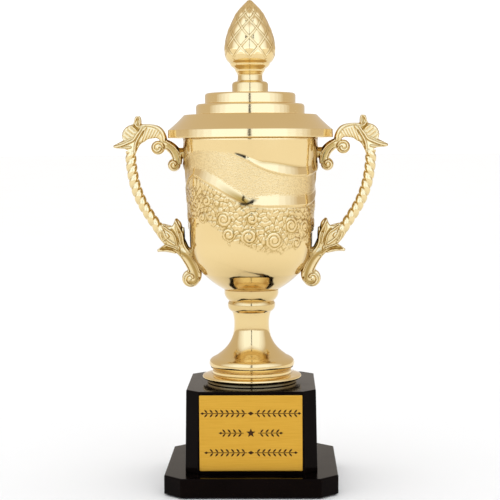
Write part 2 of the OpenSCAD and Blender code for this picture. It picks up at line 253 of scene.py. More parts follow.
def edge_levels(width, cut, z0, top_width, top_cut, z1, foot, edge):
    """Levels of a block with a small foot bevel and a rounded top edge."""
    levels = [[width - 4, cut - 1, z0], [width - 2 * foot - 0.8, cut, z0]]
    for t in np.linspace(0, 90, 5):
        a = math.radians(t)
        levels.append([width - 2 * foot * (1 - math.sin(a)), cut, z0 + foot * (1 - math.cos(a))])
    levels.append([width - 0.02, cut, z0 + foot + 0.6])
    levels.append([top_width + 0.02, top_cut, z1 - edge - 0.6])
    for t in np.linspace(0, 90, 7):
        a = math.radians(t)
        levels.append([top_width - 2 * edge * (1 - math.cos(a)), top_cut,
                       z1 - edge * (1 - math.sin(a))])
    levels.append([top_width - 2 * edge - 0.8, top_cut, z1])
    levels.append([top_width - 6, top_cut - 1, z1])
    return levels


UNDERSIDE_SHADE = 0.45      # strength of the painted shade on faces that look straight down


def mark_hollows(obj, start, full, extra_shade=0.0, gap_shade_marks=None):
    """Paints shade onto concave skin, from a curvature per millimetre up, onto faces that look down,
    and any extra shade marks.
    """
    mesh = obj.data
    count = len(mesh.vertices)
    points, normals = np.zeros(count * 3), np.zeros(count * 3)
    mesh.vertices.foreach_get("co", points)
    mesh.vertex_normals.foreach_get("vector", normals)
    ends = np.zeros(len(mesh.edges) * 2, int)
    mesh.edges.foreach_get("vertices", ends)
    points, normals = points.reshape(-1, 3) / MM, normals.reshape(-1, 3)
    a, b = ends.reshape(-1, 2).T
    ring = np.maximum(np.bincount(a, minlength=count) + np.bincount(b, minlength=count), 1)
    along_edge = points[b] - points[a]
    length = np.maximum((along_edge**2).sum(1), 1e-6)
    rise_a = (along_edge * normals[a]).sum(1) / length
    rise_b = -(along_edge * normals[b]).sum(1) / length
    bend = (np.bincount(a, rise_a, count) + np.bincount(b, rise_b, count)) * 2 / ring
    for _ in range(2):
        around = (np.bincount(a, bend[b], count) + np.bincount(b, bend[a], count)) / ring
        bend = (bend + around) / 2
    value = np.clip((bend - start) / (full - start), 0, 1)
    # painted shade on faces that look down
    value = np.maximum(value, UNDERSIDE_SHADE * np.clip(-normals[:, 2], 0, 1)**2)
    value = np.maximum(value, np.clip(extra_shade, 0, 1))
    mesh.attributes.new("hollow", "FLOAT", "POINT").data.foreach_set("value", value)
    # a second layer holds painted black shade for the deepest gaps
    if gap_shade_marks is not None:
        layer = mesh.attributes.new("gap_shade", "FLOAT", "POINT")
        layer.data.foreach_set("value", np.clip(gap_shade_marks, 0, 1))


# ---- materials ----

class Shader:
    """A Principled material and the few node moves that the finishes need."""

    def __init__(self, name, colour, metallic, roughness):
        self.material = bpy.data.materials.new(name)
        self.material.use_nodes = True
        self.tree = self.material.node_tree
        self.body = self.tree.nodes["Principled BSDF"]
        self.set("Base Color", (*colour, 1))
        self.set("Metallic", metallic)
        self.set("Roughness", roughness)
        self.coords = self.node("ShaderNodeTexCoord").outputs["Object"]

    def set(self, socket, value):
        self.body.inputs[socket].default_value = value

    def node(self, kind, **values):
        made = self.tree.nodes.new(kind)
        for key, value in values.items():
            setattr(made, key, value)
        return made

    def link(self, source, target):
        self.tree.links.new(source, target)

    def stretched(self, scale):
        """Object coordinates scaled along each axis."""
        mapping = self.node("ShaderNodeMapping")
        mapping.inputs["Scale"].default_value = scale
        self.link(self.coords, mapping.inputs["Vector"])
        return mapping.outputs["Vector"]

    def noise(self, scale, detail=3.0, vector=None):
        made = self.node("ShaderNodeTexNoise")
        made.inputs["Scale"].default_value = scale
        made.inputs["Detail"].default_value = detail
        self.link(vector or self.coords, made.inputs["Vector"])
        return made.outputs["Fac"]

    def cells(self, scale):
        """Distance to the nearest of a scatter of points."""
        made = self.node("ShaderNodeTexVoronoi")
        made.inputs["Scale"].default_value = scale
        self.link(self.coords, made.inputs["Vector"])
        return made.outputs["Distance"]

    def span(self, value, low_out, high_out, low_in=0.3, high_in=0.7):
        made = self.node("ShaderNodeMapRange")
        for key, number in (("From Min", low_in), ("From Max", high_in),
                            ("To Min", low_out), ("To Max", high_out)):
            made.inputs[key].default_value = number
        self.link(value, made.inputs["Value"])
        return made.outputs["Result"]

    def maths(self, operation, first, second):
        made = self.node("ShaderNodeMath", operation=operation)
        for socket, value in zip(made.inputs, (first, second)):
            if isinstance(value, (int, float)):
                socket.default_value = value
            else:
                self.link(value, socket)
        return made.outputs["Value"]

    def attribute(self, name):
        return self.node("ShaderNodeAttribute", attribute_name=name).outputs["Fac"]

    def mix(self, value, first, second):
        """Base colour between two by a value; first is a colour or a socket."""
        made = self.node("ShaderNodeMix", data_type="RGBA")
        if isinstance(first, tuple):
            made.inputs["A"].default_value = (*first, 1)
        else:
            self.link(first, made.inputs["A"])
        made.inputs["B"].default_value = (*second, 1)
        self.link(value, made.inputs["Factor"])
        self.link(made.outputs["Result"], self.body.inputs["Base Color"])

    def tint(self, value, dark, light):
        self.mix(value, dark, light)

    def shade(self, value, colour):
        """Blends the base colour made so far toward a painted shade colour."""
        self.mix(value, self.body.inputs["Base Color"].links[0].from_socket, colour)

    def roughness(self, value):
        self.link(value, self.body.inputs["Roughness"])

    def bump(self, *layers):
        """Stacks bump layers of (height, depth in metres)."""
        normal = None
        for height, depth in layers:
            made = self.node("ShaderNodeBump")
            made.inputs["Distance"].default_value = depth
            self.link(height, made.inputs["Height"])
            if normal is not None:
                self.link(normal, made.inputs["Normal"])
            normal = made.outputs["Normal"]
        self.link(normal, self.body.inputs["Normal"])


GOLD = (0.89, 0.69, 0.35)
DEEP_GOLD = (0.87, 0.66, 0.32)
# The cast handles use a lighter copy of the plate colour, painted lighter so they look more brightly
# lit.
LIT_CAST_GOLD = (0.89, 0.72, 0.39)
SHADE_GOLD = (0.38, 0.22, 0.035)  # painted shade in the recesses, under faces and on the stipple dots
SHADE_BLACK = (0.012, 0.008, 0.005)       # painted black shade in the deepest gaps


def gold_material(name, colour, rough, ripple):
    """Polished gold plate: faint smudges, slow ripple, and painted shade where the mesh is concave,
    faces down or meets a gap.
    """
    m = Shader(name, colour, 1.0, rough)
    deep = tuple(c * k for c, k in zip(colour, (0.98, 0.96, 0.91)))
    m.tint(m.span(m.noise(18, 2), 0, 1), deep, colour)
    # painted shade, then painted black shade in the deepest gaps
    m.shade(m.attribute("hollow"), SHADE_GOLD)
    m.shade(m.attribute("gap_shade"), SHADE_BLACK)
    m.roughness(m.span(m.noise(45, 4), rough * 0.7, rough * 1.5))
    m.bump((m.noise(90, 1), ripple), (m.noise(2600, 2), 0.000004))
    return m.material


def bowl_material():
    """The same plate, with a stippled ribbon where the mesh says so."""
    m = Shader("gold_bowl", GOLD, 1.0, 0.1)
    ribbon = m.attribute("stipple")
    m.tint(m.span(m.noise(18, 2), 0, 1), DEEP_GOLD, GOLD)
    # the stipple dots are darkened toward the painted shade colour, as painted shade of their fine
    # relief
    grains = m.maths("MULTIPLY", m.span(m.cells(1100), 1, 0, 0.0, 0.6), ribbon)
    m.shade(m.maths("MULTIPLY", grains, 0.35), SHADE_GOLD)
    # painted shade, then painted black shade in the deepest gaps
    m.shade(m.attribute("hollow"), SHADE_GOLD)
    m.shade(m.attribute("gap_shade"), SHADE_BLACK)
    polish = m.span(m.noise(45, 4), 0.07, 0.14)
    m.roughness(m.maths("ADD", polish, m.maths("MULTIPLY", ribbon, 0.2)))
    m.bump((m.noise(90, 1), 0.00003), (grains, 0.00016))
    return m.material


def plaque_material():
    """Satin brass foil with a fine sideways brush."""
    m = Shader("plaque_satin", (0.72, 0.40, 0.05), 1.0, 0.4)
    brush = m.noise(60, 3, m.stretched((1, 40, 40)))
    m.tint(m.span(brush, 0, 1), (0.68, 0.365, 0.043), (0.76, 0.43, 0.058))
    m.roughness(m.span(brush, 0.34, 0.46))
    m.bump((brush, 0.00001), (m.noise(1500, 2), 0.000008))
    return m.material


def gloss_material(name, colour, sheen_colour):
    """Lacquered black plinth: deep gloss with faint dust haze."""
    m = Shader(name, colour, 0.0, 0.12)
    m.set("Specular IOR Level", 0.04)
    m.set("Specular Tint", (1.0, 0.82, 0.72, 1))
    haze = m.noise(70, 5)
    m.tint(m.span(haze, 0, 1), colour, sheen_colour)
    m.roughness(m.span(haze, 0.08, 0.2))
    m.bump((m.noise(45, 1), 0.00002), (m.noise(3000, 2), 0.000003))
    return m.material


def grained_material(name, metallic, pattern, dark, light, rough, depth, reach=(0.3, 0.7)):
    """A plain finish; one pattern varies its colour, roughness and height."""
    m = Shader(name, light, metallic, rough[0])
    value = pattern(m)
    m.tint(m.span(value, 0, 1, *reach), dark, light)
    m.roughness(m.span(value, *rough, *reach))
    m.bump((value, depth))
    return m


gold = gold_material("gold_polished", GOLD, 0.09, 0.00002)
# lighter copy of the gold for the handles, as painted light
gold_cast_lit = gold_material("gold_cast_lit", LIT_CAST_GOLD, 0.12, 0.00003)
gold_bowl = bowl_material()
plaque_gold = plaque_material()
black_gloss = gloss_material("plinth_gloss", (0.0016, 0.0008, 0.0008), (0.003, 0.0016, 0.0015))
print_dark = gloss_material("plaque_print", (0.045, 0.02, 0.008), (0.07, 0.035, 0.014))
cloth = grained_material("felt_black", 0.0, lambda m: m.noise(1800, 6), (0.006, 0.006, 0.008),
                         (0.03, 0.03, 0.035), (0.85, 1.0), 0.0002)
cloth.set("Sheen Weight", 0.4)
felt = cloth.material
steel = grained_material("steel_plain", 1.0, lambda m: m.noise(300, 3, m.stretched((1, 1, 12))),
                         (0.50, 0.51, 0.53), (0.68, 0.69, 0.71), (0.22, 0.42), 0.00002).material
iron = grained_material("cast_iron", 0.9, lambda m: m.noise(500, 6), (0.05, 0.05, 0.055),
                        (0.16, 0.155, 0.15), (0.5, 0.85), 0.0003).material
tape = grained_material("foam_tape", 0.0, lambda m: m.cells(2500), (0.72, 0.71, 0.68),
                        (0.88, 0.87, 0.84), (0.7, 0.9), 0.00006, (0.0, 0.6)).material


def place(obj, body, slot, material, *nodes):
    """Gives a piece its material and body, and hides the nodes it stands for; slot is not used."""
    obj.data.materials.clear()
    obj.data.materials.append(material)
    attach(obj, body)
    if nodes:
        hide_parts(*nodes)
    return obj


# ---- turned pieces ----

# Each outline takes its node's largest radius and height, and may name these of its own
ROD_HOLE = 3.2
STUD_HOLE = 2.7
WAIST_R = 10.9
NECK_R = 7.6


def foot_outline(r, h):
    rim = 0.47 * h
    return ([(ROD_HOLE, 0), (r - 3.4, 0), (r - 3, 0.4), (r - 3, rim - 2), (r - 1.6, rim - 1.2)]
            + arc((r - 1.1, rim), 1.1, -60, 70)
            + [(r - 5.8, rim + 2), (r - 6.2, rim + 2.3), (r - 6.2, h - 0.6), (r - 6.8, h),
               (ROD_HOLE, h)])


def bell_outline(r, h):
    w = WAIST_R
    return ([(ROD_HOLE, 0), (r - 2.6, 0)]
            + bezier((r - 2.6, 0.3), (r - 0.6, 1.2), (r + 0.1, 3), (r, 4.4))
            + bezier((r - 0.2, 5.6), (r - 1, 7.4), (r - 3.5, 8.1), (r - 5, 9.1))
            + bezier((r - 7.6, 11.1), (w + 4.2, 14.2), (w, 19.5), (w, h * 0.78), 40)
            + bezier((w, h * 0.84), (w + 0.2, h * 0.9), (w + 0.6, h * 0.96), (w + 1.2, h))
            + [(ROD_HOLE, h)])


def knop_outline(r, h):
    return ([(ROD_HOLE, 0), (r - 2.7, 0)]
            + bezier((r - 2.2, 0.4), (r - 0.6, 1.4), (r, 2.8), (r, h * 0.62))
            + bezier((r, h * 0.72), (r - 0.2, h * 0.85), (r - 0.8, h * 0.95), (r - 0.9, h))
            + [(ROD_HOLE, h)])


def collar_outline(r, h):
    return ([(ROD_HOLE, 0), (r - 2.6, 0)]
            + bezier((r - 2.4, 0.3), (r - 1.2, 1.4), (r - 0.2, 3), (r, 4.6))
            + [(r, h), (ROD_HOLE, h)])


def tier_outline(r, h, edge=2.0):
    return ([(STUD_HOLE, 0), (r - 0.4, 0), (r, 0.4)] + arc((r - edge, h - edge), edge, 0, 90)
            + [(STUD_HOLE, h)])


def upper_tier_outline(r, h):
    return tier_outline(r, h, 1.8)


def ring_outline(r, h):
    n = NECK_R
    return ([(STUD_HOLE, 0), (r - 0.4, 0), (r - 0.1, 0.4), (r, 4.6)]
            + arc((r - 2.2, 4.9), 2.2, 5, 80)
            + bezier((n + 0.9, 7.2), (n + 0.1, 7.5), (n, 8.6), (n, h - 0.6))
            + [(n + 0.2, h), (STUD_HOLE, h)])


RIM_R = 42.0
RIM_WALL = 1.6
SPIGOT_H = 3.3
SPIGOT_R = RIM_R - RIM_WALL - 0.25
CONE_TOP_R = 41.5
BRIM_H = 4.9
SHELL = 2.0


def lid_outline():
    r, h = half_width("lid_brim"), high("lid_brim") - high("bowl")
    base = BRIM_H + 0.5
    inner = SPIGOT_R - SHELL
    return ([(inner, -SPIGOT_H), (SPIGOT_R - 0.4, -SPIGOT_H), (SPIGOT_R, 0.4 - SPIGOT_H),
             (SPIGOT_R, 0), (RIM_R + 1.6, 0), (RIM_R + 1.6, BRIM_H - 2), (r - SHELL, BRIM_H - 2),
             (r - SHELL, 0), (r, 0), (r, BRIM_H)]
            + bezier((r - 0.8, base), (r - 4.2, base + 2.8), (CONE_TOP_R + 2.8, h - 3.4),
                     (CONE_TOP_R + 0.1, h - 0.5), 30)
            + [(CONE_TOP_R - 0.5, h), (STUD_HOLE, h), (STUD_HOLE, h - SHELL),
               (inner - 1.5, h - SHELL), (inner, h - SHELL - 1.5)])


def turned_pieces():
    # The last number of each row is an even painted shade over the turned piece.
    for name, node, outline, body, even_shade in (
            ("foot_turned", "foot_flange", foot_outline, "cup", 0.0),
            ("bell_turned", "stem_bell", bell_outline, "cup", 0.1),
            ("knop_turned", "stem_knop", knop_outline, "cup", 0.25),
            ("collar_turned", "bowl_collar", collar_outline, "cup", 0.25),
            ("lower_tier_turned", "lid_lower_tier", tier_outline, "lid", 0.0),
            ("upper_tier_turned", "lid_upper_tier", upper_tier_outline, "lid", 0.0),
            ("finial_ring_turned", "finial_base", ring_outline, "lid", 0.15)):
        place(turned(name, outline(*size(node)), low(node), even_shade), body, "gold", gold, node)
    place(turned("lid_turned", lid_outline(), high("bowl")), "lid", "gold", gold, "lid_brim")


# ---- finial ----

BUD_R = 15.7
LATTICE_COUNT = 9
LATTICE_NODES = [10, 16.2, 22.2, 27.8, 32.8, 37, 40.4, 43]   # heights of the crossings


def finial_bump(angle, radius, height):
    """Raised diamond lattice with convex cells above a plain cup."""
    half = math.pi / LATTICE_COUNT
    level = np.interp(height, [0, *LATTICE_NODES, 46],
                      [-2.5, *range(len(LATTICE_NODES)), len(LATTICE_NODES) + 1.5])
    lean = angle / half
    a = (lean + level) / 2
    b = (lean - level) / 2
    da = np.abs(a - np.round(a)) * 2
    db = np.abs(b - np.round(b)) * 2
    cell = radius * half * 0.8
    ridge = 0.35 * hump(np.minimum(da, db) * cell, 0.42)
    pillow = 0.55 * np.sin(da * math.pi / 2) * np.sin(db * math.pi / 2)
    zigzag = np.abs((lean / 2 - np.round(lean / 2)) * 2)
    above = np.clip((level - zigzag) * 4 + 1, 0, 1)
    fade = np.clip((46.3 - height) / 5, 0, 1)
    beads = 0.3 * np.cos((height - 5.2) * 2 * math.pi / 3.6) * ease((8.6 - height) / 1.5)
    return above * fade * (ridge + pillow - 0.35) + beads * ease((height - 0.6) / 1.5)


def finial_outline():
    r, h, n = BUD_R, size("finial_bud")[1], NECK_R
    side = (bezier((n + 0.4, 0.7), (n + 1.2, 2.8), (r - 3.6, 5.6), (r - 1.3, h * 0.195))
            + bezier((r - 0.5, h * 0.23), (r + 0.35, h * 0.29), (r + 0.2, h * 0.42),
                     (r - 1.1, h * 0.515), 40)
            + bezier((r - 1.8, h * 0.565), (r - 4.4, h * 0.7), (r * 0.56, h * 0.84),
                     (r * 0.27, h * 0.92), 40)
            + [(r * 0.16, h * 0.96), (r * 0.08, h * 0.986)])
    side = smooth_path(side[::4] + [side[-1]], 8)
    heights = np.linspace(side[0][1], side[-1][1], 150)
    even = np.column_stack([np.interp(heights, side[:, 1], side[:, 0]), heights])
    return np.vstack([[(n - 1, 0), (n + 0.2, 0)], even])


def finial():
    rings = turned_points(finial_outline(), 360, finial_bump)
    rings[..., 2] += low("finial_bud")
    tips = [(0, 0, low("finial_bud")), (0, 0, high("finial_bud"))]
    obj = mesh_object("finial_lattice", *sweep(rings, tips))
    # painted shade in the lattice's grooves
    mark_hollows(obj, 0.05, 0.5)
    place(obj, "lid", "gold", gold, "finial_bud")


# ---- bowl ----

SIDE_R = 38.4
FLOOR_T = 3.0
RELIEF_FOOT, RELIEF_TOP = 126, 211      # heights between which the relief stands
PERIOD = 180.0       # the relief repeats twice round the bowl
RELIEF_R = 39.0      # radius at which relief sizes are measured
STEP_W = 0.6         # width of the steps at the ribbons' edges
KNEE = (42.0, 55.0)  # slopes of the underside in degrees, below and above its knee


def wave(points):
    """A smooth line round the bowl through [angle, height] points, repeating each PERIOD."""
    p = np.array(points, float)
    x = np.concatenate([p[:, 0] + k * PERIOD for k in (-2, -1, 0, 1, 2)])
    y = np.tile(p[:, 1], 5)
    slope = np.gradient(y, x)

    def line(angle):
        i = np.clip(np.searchsorted(x, angle) - 1, 0, len(x) - 2)
        h = x[i + 1] - x[i]
        t = (angle - x[i]) / h
        return ((2 * t**3 - 3 * t**2 + 1) * y[i] + (t**3 - 2 * t**2 + t) * h * slope[i]
                + (3 * t**2 - 2 * t**3) * y[i + 1] + (t**3 - t**2) * h * slope[i + 1])
    return line


# Lines of the relief, heights above the table
ribbon_top = wave([(-52, 207.3), (-31, 207.3), (-14, 205.6), (-2, 201.5), (13, 196), (23, 193.8),
                   (36, 192.3), (52, 191.9), (75, 193.5), (100, 200)])
ribbon_foot = wave([(-52, 196.3), (-31, 191.8), (-17, 186), (-7, 181.6), (0, 178.6), (7, 179.4),
                    (17, 180.1), (53, 179.8), (75, 182), (100, 190)])
blade_width = wave([(-60, 0), (-14, 0), (-2, 1.8), (7, 2.8), (17, 4.8), (52, 5.2), (75, 5.5),
                    (100, 4), (118, 0.2)])
band_foot = wave([(-55, 192.4), (-43, 189.2), (-32, 185.8), (-22, 182), (-13, 178.8),
                  (-2.5, 175.4), (9, 174.2), (32, 173.8), (50, 173.8), (75, 176), (100, 185)])
rose_foot = wave([(-47, 163), (-27, 156), (-19, 152), (-4, 148.4), (8, 145.4), (30, 144),
                  (40, 146), (53, 149), (80, 156), (105, 163)])
low_line = wave([(-63, 144.2), (-48, 142.4), (-30, 140), (-10, 136), (13, 132.8), (30, 131.3),
                 (60, 131), (90, 138)])
# Roses: angle, height, radius
ROSES = [(-60, 181.7, 3.6), (-41.3, 177, 3.7), (-30.2, 175.4, 2.6), (-47.2, 166.8, 3.7),
         (-23.5, 166.1, 5), (-18.8, 156.8, 4.4), (2, 166.6, 3.8), (-0.6, 155.6, 5.2),
         (22.2, 153.1, 6), (39.5, 161.9, 5.5), (46.4, 151.2, 4), (58, 161, 4.8), (70, 166.5, 4.6),
         (66, 154.5, 4), (84, 173, 4.8), (84, 161.5, 4.4), (98, 177.5, 4.4), (100, 167, 4.6),
         (111, 172.5, 3.8)]
# Leaves: angle, height, length, width, lean in degrees
LEAVES = [(-8.6, 170.5, 5, 3, 35), (13.6, 163, 4.6, 2.4, -30), (19.8, 168.6, 5, 2.6, 15),
          (28, 168.5, 4.6, 2.4, -20), (27, 162.5, 3.6, 2, 70), (-34, 169.5, 4, 2, 60),
          (-37, 163.5, 4, 2, -40), (-10, 161.5, 4, 2.2, 60), (10, 158.5, 4, 2.2, -70),
          (7.6, 148, 3.8, 2.2, -55), (16.5, 146.2, 3.6, 2, -90), (30, 146, 3.8, 2.2, -60),
          (36, 149.5, 3.6, 2, 30), (-18.9, 151.4, 3, 1.6, -60), (48, 169, 5, 2.6, 10),
          (60, 170, 4.6, 2.4, -20), (53, 156.5, 4, 2.2, 60), (75, 158.5, 4, 2.2, 30),
          (92, 167.5, 4, 2.2, -40), (106, 179.5, 4, 2.2, 10), (-52, 173.5, 4, 2.2, -30),
          (-56, 162, 4, 2, 20)]


def wrapped(angle):
    """Angle from the front, brought into one period."""
    return (angle + 60) % PERIOD - 60


def local(angle, height, centre):
    """Millimetres sideways and up from a point of the relief."""
    sideways = wrapped(angle - centre[0] - 60) + 60
    sideways = np.where(sideways > PERIOD / 2, sideways - PERIOD, sideways)
    return np.radians(sideways) * RELIEF_R, height - centre[1]


def from_segment(x, y, dx, dy):
    """Distance to the segment from (0, 0) to (dx, dy)."""
    t = np.clip((x * dx + y * dy) / max(dx * dx + dy * dy, 1e-9), 0, 1)
    return np.hypot(x - t * dx, y - t * dy)


def stroke(angle, height, points, width):
    """1 on a line through [angle, height] points, fading away over the width."""
    best = np.full(angle.shape, 99.0)
    for p, q in zip(points[:-1], points[1:]):
        x, y = local(angle, height, p)
        run = math.radians(q[0] - p[0]) * RELIEF_R
        best = np.minimum(best, from_segment(x, y, run, q[1] - p[1]))
    return hump(best, width)


PETAL_PITCH = 2.1       # distance between a rose's rings of petals


def rose(x, y, radius, turn):
    """Height and painted shade lines of a domed rosette of spiralling petals."""
    rho = np.hypot(x, y) / radius
    psi = np.arctan2(y, x) + turn
    edge = 1 + 0.07 * np.cos(5 * psi)
    inside = ease((edge - rho) * radius / 0.7)
    petals = np.cos(2 * math.pi * rho * radius / PETAL_PITCH - psi) * ease(rho * 3)
    lines = inside * ease(-petals * 2.2 - 0.8)
    outline = hump((rho - edge) * radius, 0.45)
    return inside * (0.45 + 0.3 * (1 - rho**2) + 0.14 * petals), np.maximum(lines, outline)


def leaf(x, y, length, width, lean):
    """Height and painted shade of a pointed leaf with a sunk vein."""
    a = math.radians(lean)
    u = (x * math.cos(a) + y * math.sin(a)) / (length / 2)
    v = (y * math.cos(a) - x * math.sin(a)) / (width / 2)
    fill = 1 - u * u - np.abs(v)
    inside = ease(fill * 1.6)
    return inside * (0.5 - 0.2 * hump(v, 0.3)), 0.8 * hump(fill, 0.35)


PETAL_STEP = (3.9, 2.7)     # spacing of the small petals between the roses


def petals(x, y, band):
    """Height and painted shade lines of close-set small petals; band gives the bed's edges at an x.
    """
    rng = np.random.default_rng(7)
    turn_round = math.radians(PERIOD) * RELIEF_R
    first = math.radians(-60) * RELIEF_R
    seeds = []
    for i in range(int(turn_round / PETAL_STEP[0])):
        for j in range(20):
            jitter = rng.uniform(-1, 1, 3)
            sx = first + (i + 0.5 * (j % 2) + 0.3 * jitter[0]) * PETAL_STEP[0]
            sy = 134 + (j + 0.3 * jitter[1]) * PETAL_STEP[1]
            foot, top = band(sx)
            if foot < sy < top:
                seeds += [(sx + k * turn_round, sy, jitter[2] * 1.6) for k in (-1, 0, 1)
                          if first - 4 < sx + k * turn_round < first + turn_round + 4]
    nearest, second = np.full(x.shape, 99.0), np.full(x.shape, 99.0)
    across = np.zeros(x.shape)
    for sx, sy, lean in seeds:
        dx, dy = x - sx, y - sy
        u, v = dx * math.cos(lean) + dy * math.sin(lean), dy * math.cos(lean) - dx * math.sin(lean)
        far = np.hypot(u / 1.8, v)
        second = np.minimum(second, np.maximum(far, nearest))
        across = np.where(far < nearest, v, across)
        nearest = np.minimum(nearest, far)
    inset = second - nearest
    lines = hump(inset, 0.32) + 0.5 * hump(across, 0.2) * (nearest < 0.9)
    return 0.38 * ease(inset / 0.9) - 0.12 * hump(across, 0.3), lines


def bowl_relief(angle, height):
    """Height of the relief over the plain bowl in millimetres; shares of stipple, painted shade and
    painted black gap shade.
    """
    a = wrapped(np.degrees(angle))
    top, foot, base = ribbon_top(a), ribbon_foot(a), band_foot(a)
    wide = np.maximum(blade_width(a), 0.01)
    up = (height - top) / wide
    blade = np.where(up > 0, np.clip(1 - up, 0, 1), ease((height - top + STEP_W) / STEP_W))
    out = 0.8 * np.clip(wide / 2.5, 0, 1) * blade
    ribbon = ease((top - height) / STEP_W) * ease((height - foot) / STEP_W)
    out = out - 0.12 * ribbon
    rise = (height - base) / np.maximum(foot - base, 1)
    fall = ease((height - base + STEP_W) / STEP_W)
    out = out + np.where(rise > 0, np.clip(1 - rise, 0, 1)**1.3, fall) * 0.85
    # Wedge where the upper blade starts, and the twist where one ribbon dives under the next, both
    # painted black as gap shade
    grow = np.clip((a + 14) / 12, 0, 1)
    wedge = ease((a + 13) / 3) * ease(-2 - a)
    wedge = wedge * hump(height - top - 0.7 * wide - 0.3, 0.35 + 0.8 * grow, 4)
    twist = stroke(a, height, [(-7, 175.4), (-2, 175.3), (1, 176.4), (3, 177.3), (7.5, 177.6)],
                   0.95)
    gap_shade = np.maximum(wedge, twist * ease((8 - a) / 6))
    out = out - 0.12 * twist - 0.2 * wedge
    # Painted shadow under the folding ribbon, and painted shade along the blade's upper edge and in
    # a thin line by the twist
    fold = stroke(a, height, [(-28, 185.5), (-14, 180.4), (-3, 176.6)], 2.6)
    shade = fold * ease((a + 34) / 30) * ease((foot - height) / 1.5)
    edge = hump((up - 1) * wide, 0.8) * ease((a - 2) / 10) * ease((60 - a) / 20)
    shade = np.maximum(shade, 0.5 * edge)
    shade = np.maximum(shade, 0.5 * stroke(a, height, [(0, 173.6), (8, 172.6), (14, 172.2)], 0.8))
    # The band of roses
    bed = ease((base - 0.8 - height) / 1) * ease((height - rose_foot(a) - 1.5) / 1)
    x, y = np.radians(a) * RELIEF_R, height
    # The flowers' marks are painted shade lines between their petals and round their edges
    flowers, marks = petals(x, y, lambda at: (rose_foot(math.degrees(at / RELIEF_R)),
                                              band_foot(math.degrees(at / RELIEF_R))))
    flowers, marks = bed * (flowers + 0.08), bed * marks
    for i, spot in enumerate(ROSES):
        raised, lines = rose(*local(a, height, spot), spot[2], i * 1.3)
        marks = np.where(raised > flowers, lines, np.maximum(marks, lines * (raised > 0)))
        flowers = np.maximum(flowers, raised)
    for spot in LEAVES:
        raised, lines = leaf(*local(a, height, spot), *spot[2:])
        marks = np.where(raised > flowers, lines, marks)
        flowers = np.maximum(flowers, raised)
    out = out + flowers
    veil = stroke(a, height, [(-29.5, 170.2), (-19.5, 172.8), (-11, 174.4)], 0.6)
    out = out + 0.4 * veil
    # Slow ridges on the plain lower part
    drop = height - low_line(a)
    out = out + 0.1 * hump(drop, np.where(drop < 0, 0.7, 4))
    # Painted shade on the plate beside the handles, and on a raised pad where they meet it
    aside = np.abs(np.degrees(angle) % 180 - 90)
    beside = 0.7 * ease((31 - aside) / 12)
    pad = ease((28 + 0.8 * (height - high("bowl")) - aside) / 1.5) * ease((height - 185) / 4)
    out = out + 0.5 * pad
    shade = np.maximum(np.maximum(shade, marks), np.maximum(beside, 0.9 * pad))
    return out, ribbon, shade, gap_shade


def bowl_side():
    """Radius of the plain bowl against height above its foot, as two arrays."""
    collar, h = half_width("bowl_collar"), size("bowl")[1]
    foot = np.array(bezier((collar, 0), (25.5, 5), (37.6, 13.5), (SIDE_R, 31), 200))
    side = np.array(bezier((SIDE_R + 0.2, 36), (SIDE_R + 0.6, 54), (RIM_R - 1.5, 73), (RIM_R, h),
                           60))
    # The underside turns up quickly at a soft knee
    lean = np.degrees(np.arctan2(*np.gradient(foot, axis=0).T[::-1]))
    before, after = np.searchsorted(lean, KNEE)
    p, q = foot[before], foot[after]
    slope_p, slope_q = np.tan(np.radians(KNEE))
    r = (q[1] - p[1] + slope_p * p[0] - slope_q * q[0]) / (slope_p - slope_q)
    corner = (r, p[1] + slope_p * (r - p[0]))
    line = np.vstack([foot[:before], [corner], foot[after:], side])
    return line[:, 0], line[:, 1]


def bowl_radius(height):
    """Radius of the plain bowl at a height above the table."""
    r, z = bowl_side()
    return np.interp(height, z + low("bowl"), r)


# Flat seats inside the bowl for the handle washers: heights, and distances from the axis
SEATS = ((205.7, 38.2), (143.7, 31.8))
SEAT_R = 4.4
BOWL_SEGMENTS = 500


def seat_faces(points):
    """Brings the inner wall to the washers' faces, on both sides."""
    for height, reach in SEATS:
        far = np.hypot(points[..., 1], points[..., 2] - height)
        x = np.abs(points[..., 0])
        inside = (far < SEAT_R) & (x > reach - 2) & (np.hypot(x, points[..., 1])
                                                    < bowl_radius(points[..., 2]) - 0.8)
        points[..., 0] = np.where(inside, np.sign(points[..., 0]) * reach, points[..., 0])
    return points


